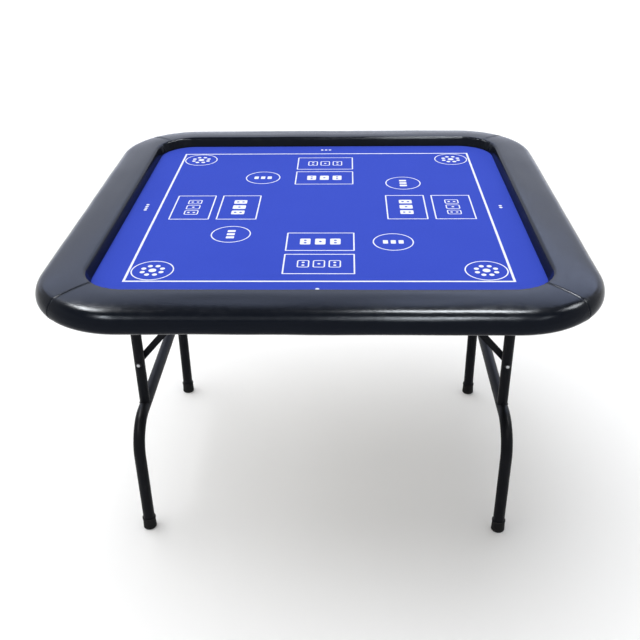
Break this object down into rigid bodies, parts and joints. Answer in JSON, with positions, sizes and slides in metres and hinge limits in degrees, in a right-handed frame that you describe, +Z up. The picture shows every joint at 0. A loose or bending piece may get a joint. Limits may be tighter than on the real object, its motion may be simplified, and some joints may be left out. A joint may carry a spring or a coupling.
{
  "type": "folding mahjong table",
  "caption": "Square game table with a padded black rail round a recessed blue cloth, on steel leg frames that fold flat under the top on braces.",
  "frame": {"origin": "on the floor, below the middle of the top", "axes": "+Z up; +Y away from the front player; the leg frames stand at -X (left) and +X (right)"},
  "size_m": [1.136, 1.136, 0.7635],
  "materials": {
    "plywood": "bare birch plywood",
    "foam": "cut upholstery foam",
    "blue_cloth": "tight printed table cloth",
    "black_vinyl": "satin grained vinyl",
    "black_steel": "satin black powder coat",
    "zinc_steel": "bright zinc plate",
    "black_plastic": "moulded black plastic",
    "black_rubber": "moulded black rubber"
  },
  "bodies": {
    "table_top": {"top_board": "plywood", "rail_core": "plywood", "underlay": "foam", "playing_cloth": "blue_cloth", "front_rail_foam": "foam", "right_rail_foam": "foam", "rear_rail_foam": "foam", "left_rail_foam": "foam", "front_rail_cover": "black_vinyl", "right_rail_cover": "black_vinyl", "rear_rail_cover": "black_vinyl", "left_rail_cover": "black_vinyl", "rail_screws": "zinc_steel", "strap_screws": "zinc_steel", "bracket_screws": "zinc_steel", "left_front_hinge_strap": "zinc_steel", "left_rear_hinge_strap": "zinc_steel", "left_front_brace_bracket": "zinc_steel", "left_rear_brace_bracket": "zinc_steel", "left_bracket_rivets": "zinc_steel", "right_front_hinge_strap": "zinc_steel", "right_rear_hinge_strap": "zinc_steel", "right_front_brace_bracket": "zinc_steel", "right_rear_brace_bracket": "zinc_steel", "right_bracket_rivets": "zinc_steel"},
    "left_leg": {"left_base_frame": "black_steel", "left_front_upright": "black_steel", "left_rear_upright": "black_steel", "left_hinge_tube": "black_steel", "left_hinge_plugs": "black_plastic", "left_front_foot": "black_rubber", "left_rear_foot": "black_rubber", "left_brace_bolts": "zinc_steel", "left_brace_spacers": "black_plastic", "left_brace_nuts": "zinc_steel"},
    "left_lower_braces": {"left_front_lower_brace": "black_steel", "left_rear_lower_brace": "black_steel", "left_elbow_rivets_outer": "zinc_steel"},
    "left_upper_braces": {"left_front_upper_brace": "black_steel", "left_rear_upper_brace": "black_steel", "left_elbow_rivets_inner": "zinc_steel"},
    "right_leg": {"right_base_frame": "black_steel", "right_front_upright": "black_steel", "right_rear_upright": "black_steel", "right_hinge_tube": "black_steel", "right_hinge_plugs": "black_plastic", "right_front_foot": "black_rubber", "right_rear_foot": "black_rubber", "right_brace_bolts": "zinc_steel", "right_brace_spacers": "black_plastic", "right_brace_nuts": "zinc_steel"},
    "right_lower_braces": {"right_front_lower_brace": "black_steel", "right_rear_lower_brace": "black_steel", "right_elbow_rivets_outer": "zinc_steel"},
    "right_upper_braces": {"right_front_upper_brace": "black_steel", "right_rear_upper_brace": "black_steel", "right_elbow_rivets_inner": "zinc_steel"}
  },
  "joints": [
    {"name": "left_leg_fold", "type": "hinge", "parent": "table_top", "child": "left_leg", "pos_m": [-0.415, 0, 0.7025], "axis": [0, -1, 0], "range_deg": [0, 90]},
    {"name": "left_lower_brace_fold", "type": "hinge", "parent": "left_leg", "child": "left_lower_braces", "pos_m": [-0.437, 0, 0.422], "axis": [0, -1, 0], "range_deg": [0, 47]},
    {"name": "left_upper_brace_fold", "type": "hinge", "parent": "table_top", "child": "left_upper_braces", "pos_m": [-0.21, 0, 0.6805], "axis": [0, -1, 0], "range_deg": [-42, 0]},
    {"name": "right_leg_fold", "type": "hinge", "parent": "table_top", "child": "right_leg", "pos_m": [0.415, 0, 0.7025], "axis": [0, 1, 0], "range_deg": [0, 85.5]},
    {"name": "right_lower_brace_fold", "type": "hinge", "parent": "right_leg", "child": "right_lower_braces", "pos_m": [0.437, 0, 0.422], "axis": [0, 1, 0], "range_deg": [0, 37]},
    {"name": "right_upper_brace_fold", "type": "hinge", "parent": "table_top", "child": "right_upper_braces", "pos_m": [0.21, 0, 0.6805], "axis": [0, 1, 0], "range_deg": [-54, 0]}
  ],
  "couplings": [
    {"joint": "left_lower_brace_fold", "follows": "left_leg_fold", "ratio": 0.51224},
    {"joint": "left_upper_brace_fold", "follows": "left_leg_fold", "ratio": -0.45775},
    {"joint": "right_lower_brace_fold", "follows": "right_leg_fold", "ratio": 0.42888},
    {"joint": "right_upper_brace_fold", "follows": "right_leg_fold", "ratio": -0.62596}
  ]
}
